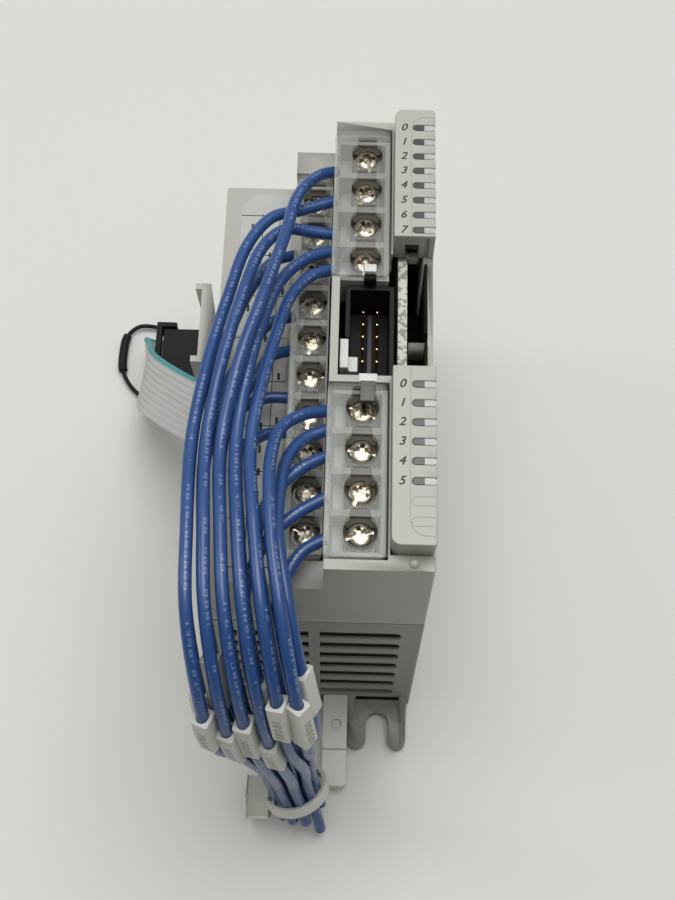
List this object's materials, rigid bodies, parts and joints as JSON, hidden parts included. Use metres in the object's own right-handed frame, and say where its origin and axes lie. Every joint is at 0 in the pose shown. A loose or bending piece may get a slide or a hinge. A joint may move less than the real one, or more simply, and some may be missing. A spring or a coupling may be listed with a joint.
{
  "type": "programmable controller expansion module",
  "caption": "Slim rail-mounted input and output module with screw terminals under clear covers, indicator bezels, ribbon bus cable and tied field wiring.",
  "frame": {"origin": "bottom centre of the box round the module with its rail latch pulled out, wiring and ribbon left out; the module lies on its back on Z = 0", "axes": "+Z out of the front of the module, +Y towards the top end of the module as it hangs on a rail, +X towards its right side, across its width"},
  "size_m": [0.0694, 0.1287, 0.0895],
  "materials": {
    "housing_plastic": "fine matt, warm light grey",
    "shell_plastic": "fine matt, warm grey",
    "bezel_plastic": "satin, warm grey",
    "block_plastic": "satin, whitish grey",
    "clear_cover": "clear, glossy",
    "light_pipe": "smoky clear, glossy",
    "circuit_board": "laminate",
    "relay_plastic": "satin",
    "black_plastic": "satin black",
    "gold_pins": "gold flash",
    "key_plastic": "satin, whitish",
    "label_film": "smooth paper-like film",
    "latch_nylon": "whitish, slightly translucent",
    "screw_metal": "nickel plated, bright",
    "wire_jacket": "blue with a clear glossy jacket",
    "ribbon_jacket": "light grey, ribbed",
    "tie_nylon": "cream, slightly translucent"
  },
  "bodies": {
    "root": {"base_shell": "shell_plastic", "housing_shell": "housing_plastic", "upper_indicator_bezel": "bezel_plastic", "lower_indicator_bezel": "bezel_plastic", "input_light_pipe": "light_pipe", "output_light_pipe": "light_pipe", "upper_terminal_block": "block_plastic", "lower_terminal_block": "block_plastic", "inner_terminal_block": "block_plastic", "upper_terminal_cover": "clear_cover", "lower_terminal_cover": "clear_cover", "inner_terminal_cover": "clear_cover", "main_circuit_board": "circuit_board", "relay_board": "circuit_board", "output_relay_bank": "relay_plastic", "bus_header": "black_plastic", "bus_header_pins": "gold_pins", "bus_header_key": "key_plastic", "wiring_label": "label_film", "wire_U1": "wire_jacket", "wire_U2": "wire_jacket", "wire_U3": "wire_jacket", "wire_U4": "wire_jacket", "wire_U5": "wire_jacket", "wire_L1": "wire_jacket", "wire_L2": "wire_jacket", "wire_L3": "wire_jacket", "wire_L4": "wire_jacket", "wire_L5": "wire_jacket", "wire_M1": "wire_jacket", "wire_M2": "wire_jacket", "wire_M3": "wire_jacket", "wire_M4": "wire_jacket", "wire_M5": "wire_jacket", "cable_tie": "tie_nylon", "ribbon_cable": "ribbon_jacket", "ribbon_connector": "black_plastic", "ribbon_strain_relief": "black_plastic", "pull_loop": "black_plastic"},
    "latch": {"din_rail_latch": "latch_nylon"},
    "upper_screw_1": {"upper_screw_1": "screw_metal"},
    "upper_screw_2": {"upper_screw_2": "screw_metal"},
    "upper_screw_3": {"upper_screw_3": "screw_metal"},
    "upper_screw_4": {"upper_screw_4": "screw_metal"},
    "lower_screw_1": {"lower_screw_1": "screw_metal"},
    "lower_screw_2": {"lower_screw_2": "screw_metal"},
    "lower_screw_3": {"lower_screw_3": "screw_metal"},
    "lower_screw_4": {"lower_screw_4": "screw_metal"},
    "inner_screw_1": {"inner_screw_1": "screw_metal"},
    "inner_screw_2": {"inner_screw_2": "screw_metal"},
    "inner_screw_3": {"inner_screw_3": "screw_metal"},
    "inner_screw_4": {"inner_screw_4": "screw_metal"},
    "inner_screw_5": {"inner_screw_5": "screw_metal"},
    "inner_screw_6": {"inner_screw_6": "screw_metal"},
    "inner_screw_7": {"inner_screw_7": "screw_metal"},
    "inner_screw_8": {"inner_screw_8": "screw_metal"},
    "inner_screw_9": {"inner_screw_9": "screw_metal"},
    "inner_screw_10": {"inner_screw_10": "screw_metal"}
  },
  "joints": [
    {"name": "latch_slide", "type": "slide", "parent": "root", "child": "latch", "axis": [0, 1, 0], "range_m": [0, 0.008]},
    {"name": "upper_screw_1_turn", "type": "hinge", "parent": "root", "child": "upper_screw_1", "pos_m": [0.00917, 0.0421, 0.08], "axis": [0, 0, 1], "continuous": true},
    {"name": "upper_screw_2_turn", "type": "hinge", "parent": "root", "child": "upper_screw_2", "pos_m": [0.00917, 0.03448, 0.08], "axis": [0, 0, 1], "continuous": true},
    {"name": "upper_screw_3_turn", "type": "hinge", "parent": "root", "child": "upper_screw_3", "pos_m": [0.00917, 0.02686, 0.08], "axis": [0, 0, 1], "continuous": true},
    {"name": "upper_screw_4_turn", "type": "hinge", "parent": "root", "child": "upper_screw_4", "pos_m": [0.00917, 0.01924, 0.08], "axis": [0, 0, 1], "continuous": true},
    {"name": "lower_screw_1_turn", "type": "hinge", "parent": "root", "child": "lower_screw_1", "pos_m": [0.00917, -0.01088, 0.08], "axis": [0, 0, 1], "continuous": true},
    {"name": "lower_screw_2_turn", "type": "hinge", "parent": "root", "child": "lower_screw_2", "pos_m": [0.00917, -0.0185, 0.08], "axis": [0, 0, 1], "continuous": true},
    {"name": "lower_screw_3_turn", "type": "hinge", "parent": "root", "child": "lower_screw_3", "pos_m": [0.00917, -0.02612, 0.08], "axis": [0, 0, 1], "continuous": true},
    {"name": "lower_screw_4_turn", "type": "hinge", "parent": "root", "child": "lower_screw_4", "pos_m": [0.00917, -0.03374, 0.08], "axis": [0, 0, 1], "continuous": true},
    {"name": "inner_screw_1_turn", "type": "hinge", "parent": "root", "child": "inner_screw_1", "pos_m": [-0.0002, 0.03875, 0.07], "axis": [0, 0, 1], "continuous": true},
    {"name": "inner_screw_2_turn", "type": "hinge", "parent": "root", "child": "inner_screw_2", "pos_m": [-0.0002, 0.03113, 0.07], "axis": [0, 0, 1], "continuous": true},
    {"name": "inner_screw_3_turn", "type": "hinge", "parent": "root", "child": "inner_screw_3", "pos_m": [-0.0002, 0.02351, 0.07], "axis": [0, 0, 1], "continuous": true},
    {"name": "inner_screw_4_turn", "type": "hinge", "parent": "root", "child": "inner_screw_4", "pos_m": [-0.0002, 0.01589, 0.07], "axis": [0, 0, 1], "continuous": true},
    {"name": "inner_screw_5_turn", "type": "hinge", "parent": "root", "child": "inner_screw_5", "pos_m": [-0.0002, 0.00827, 0.07], "axis": [0, 0, 1], "continuous": true},
    {"name": "inner_screw_6_turn", "type": "hinge", "parent": "root", "child": "inner_screw_6", "pos_m": [-0.0002, 0.00065, 0.07], "axis": [0, 0, 1], "continuous": true},
    {"name": "inner_screw_7_turn", "type": "hinge", "parent": "root", "child": "inner_screw_7", "pos_m": [-0.0002, -0.00697, 0.07], "axis": [0, 0, 1], "continuous": true},
    {"name": "inner_screw_8_turn", "type": "hinge", "parent": "root", "child": "inner_screw_8", "pos_m": [-0.0002, -0.01459, 0.07], "axis": [0, 0, 1], "continuous": true},
    {"name": "inner_screw_9_turn", "type": "hinge", "parent": "root", "child": "inner_screw_9", "pos_m": [-0.0002, -0.02221, 0.07], "axis": [0, 0, 1], "continuous": true},
    {"name": "inner_screw_10_turn", "type": "hinge", "parent": "root", "child": "inner_screw_10", "pos_m": [-0.0002, -0.02983, 0.07], "axis": [0, 0, 1], "continuous": true}
  ]
}
